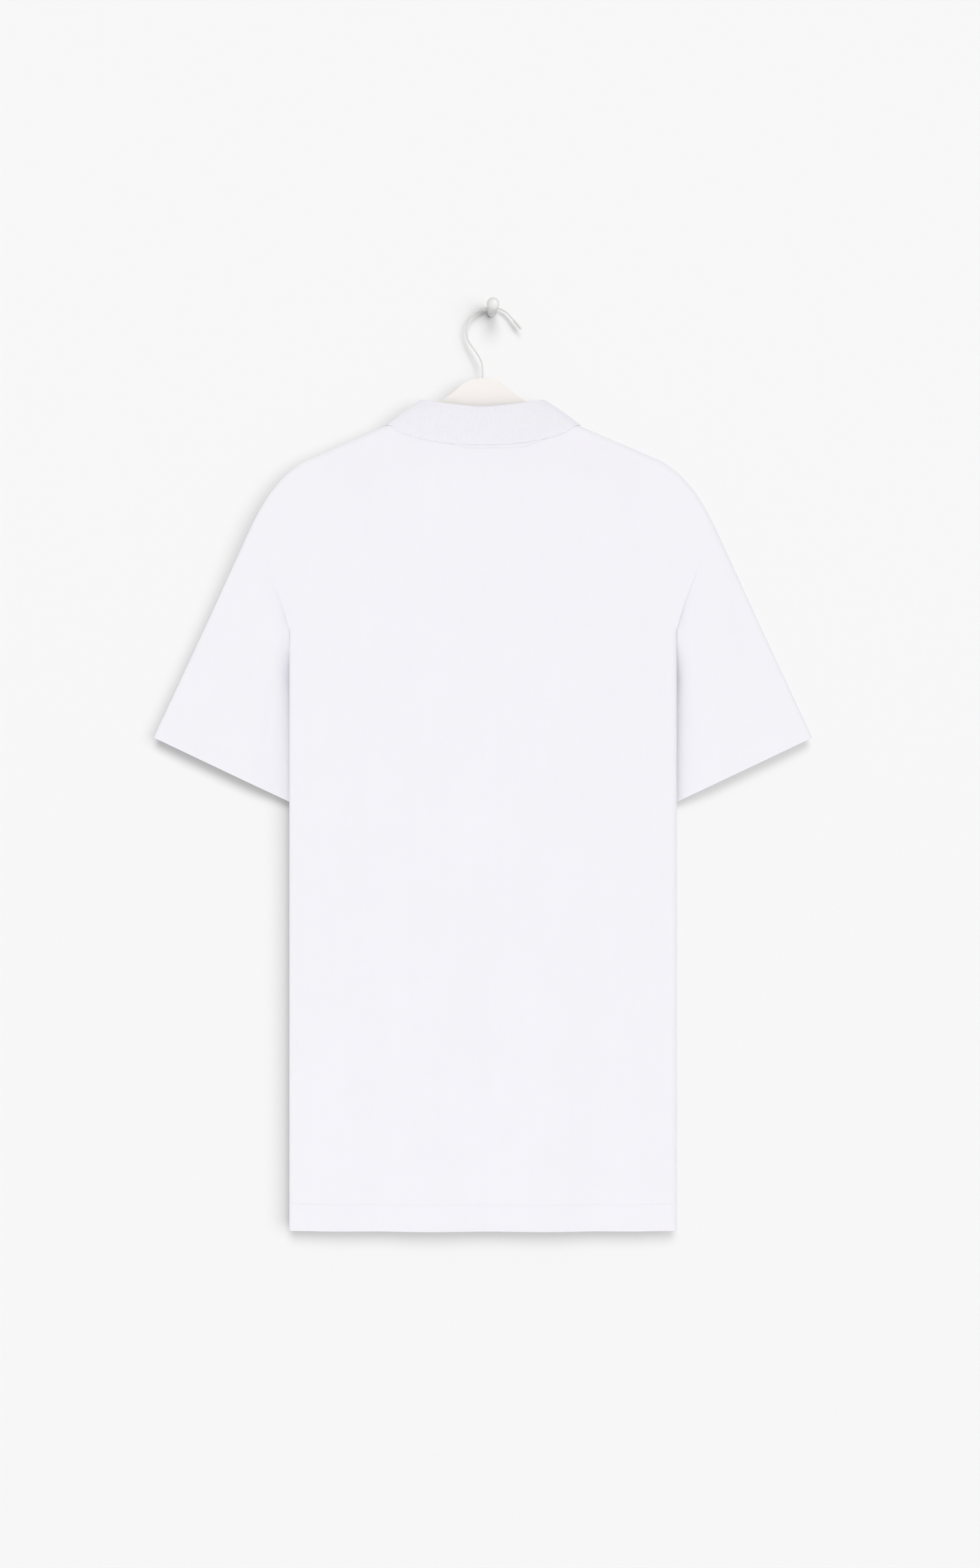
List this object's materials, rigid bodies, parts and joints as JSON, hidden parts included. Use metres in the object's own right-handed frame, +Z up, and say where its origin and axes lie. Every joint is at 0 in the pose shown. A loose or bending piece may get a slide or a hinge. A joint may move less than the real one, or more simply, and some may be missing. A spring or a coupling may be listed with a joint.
{
  "type": "polo shirt on a hanger and wall knob",
  "caption": "Short-sleeve knit polo shirt with a rib collar, hung back outwards on a flat shoulder hanger whose wire hook rests on a wall knob.",
  "frame": {"origin": "centre of the wall knob's round back face, on the wall", "axes": "+Z up, +X right and +Y into the wall, seen by someone who faces the wall; the shirt's back faces -Y"},
  "size_m": [0.7686, 0.0442, 1.0799],
  "materials": {
    "jersey": "matt fine cotton jersey",
    "rib_knit": "matt rib knit",
    "button_plastic": "semi-gloss",
    "hanger_plastic": "satin off-white",
    "hook_wire": "satin pale grey",
    "tip_plastic": "clear, slightly milky",
    "knob_plastic": "satin white"
  },
  "bodies": {
    "root": {"back": "jersey", "front": "jersey", "sleeve_left": "jersey", "sleeve_right": "jersey", "collar": "rib_knit", "placket_over": "jersey", "placket_under": "jersey", "button_1": "button_plastic", "button_2": "button_plastic", "button_3": "button_plastic", "hanger": "hanger_plastic", "hanger_hook": "hook_wire", "hook_tip": "tip_plastic", "wall_knob": "knob_plastic"}
  },
  "joints": []
}
